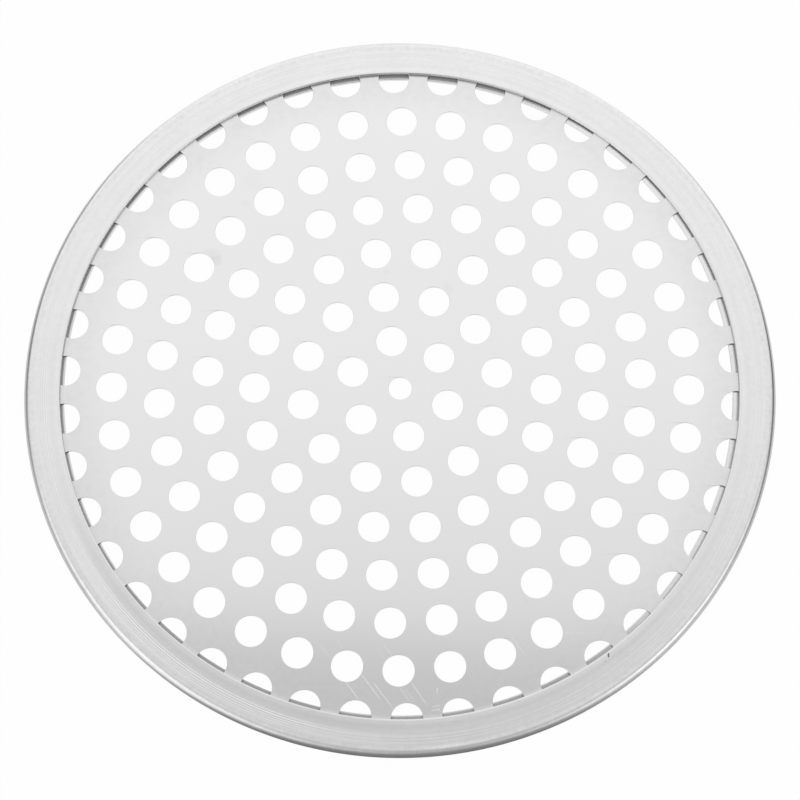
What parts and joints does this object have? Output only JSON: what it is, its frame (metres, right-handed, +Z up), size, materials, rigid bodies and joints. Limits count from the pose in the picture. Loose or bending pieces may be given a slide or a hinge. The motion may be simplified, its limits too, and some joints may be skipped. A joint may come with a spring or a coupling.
{
  "type": "perforated pizza pan",
  "caption": "Round flat baking disc punched all over with round holes, its edge crimped into a folded rim.",
  "frame": {"origin": "centre of the pan, on the plane that it stands on", "axes": "+Z up along the pan's axis, out of the face that the food lies on; the holes repeat six times round it"},
  "size_m": [0.3048, 0.3048, 0.0044],
  "materials": {
    "disc_sheet": "smooth semi-gloss sheet with fine handling scratches",
    "rim_strip": "fine concentric spinning lines, brighter on the outer bend"
  },
  "bodies": {
    "root": {"perforated_disc": "disc_sheet", "rim_channel": "rim_strip"}
  },
  "joints": []
}
